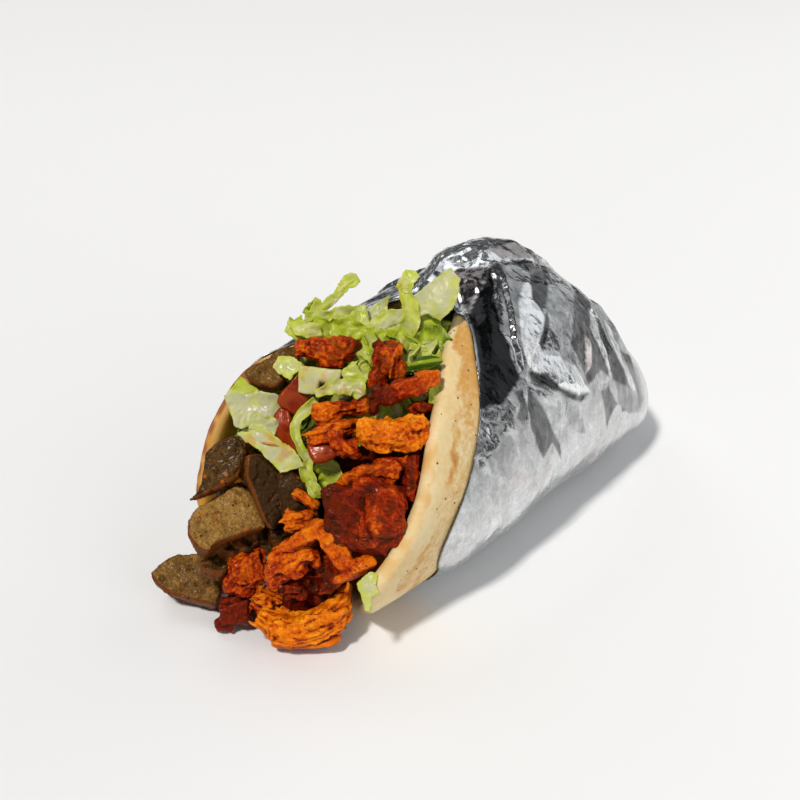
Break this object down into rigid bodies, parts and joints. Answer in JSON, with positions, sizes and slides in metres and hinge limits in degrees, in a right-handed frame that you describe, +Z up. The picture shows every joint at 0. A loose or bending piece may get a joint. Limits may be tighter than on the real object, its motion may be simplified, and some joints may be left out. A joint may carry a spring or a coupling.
{
  "type": "gyro wrap",
  "caption": "Folded pita in a crumpled foil wrapper, open at one end, filled with sliced doner, orange-red spiced chicken, shredded lettuce and tomato.",
  "frame": {"origin": "centre of the bounding box at the level the wrap rests on", "axes": "+Y along the wrap towards its closed foil end, the open mouth at -Y, +Z up"},
  "size_m": [0.0934, 0.2092, 0.1097],
  "materials": {
    "foil": "crumpled bright foil",
    "pita": "pale griddled bread with toasted bands and specks",
    "chicken": "oily, fibrous, spiced and charred meat",
    "doner": "granular cut meat with a moist sheen and a browned crust",
    "lettuce": "thin translucent wet leaf",
    "tomato": "wet, sauced",
    "pepper": "wet, striped"
  },
  "bodies": {
    "root": {"foil": "foil", "pita": "pita", "chicken_01": "chicken", "chicken_02": "chicken", "chicken_03": "chicken", "chicken_04": "chicken", "chicken_05": "chicken", "chicken_06": "chicken", "chicken_07": "chicken", "chicken_08": "chicken", "chicken_09": "chicken", "chicken_10": "chicken", "chicken_11": "chicken", "chicken_12": "chicken", "chicken_13": "chicken", "chicken_14": "chicken", "chicken_15": "chicken", "chicken_16": "chicken", "chicken_17": "chicken", "chicken_18": "chicken", "chicken_19": "chicken", "chicken_20": "chicken", "chicken_21": "chicken", "chicken_fill": "chicken", "doner_slice_1": "doner", "doner_slice_2": "doner", "doner_slice_3": "doner", "doner_slice_4": "doner", "doner_slice_5": "doner", "doner_slice_6": "doner", "doner_fill": "doner", "lettuce_heap": "lettuce", "lettuce_leaf": "lettuce", "lettuce_flap": "lettuce", "lettuce_rib": "lettuce", "lettuce_curl": "lettuce", "lettuce_stalk": "lettuce", "lettuce_strip": "lettuce", "lettuce_tall": "lettuce", "lettuce_core": "lettuce", "lettuce_frill": "lettuce", "lettuce_scrap": "lettuce", "tomato_1": "tomato", "tomato_2": "tomato", "tomato_3": "tomato", "pepper_strip": "pepper"}
  },
  "joints": []
}
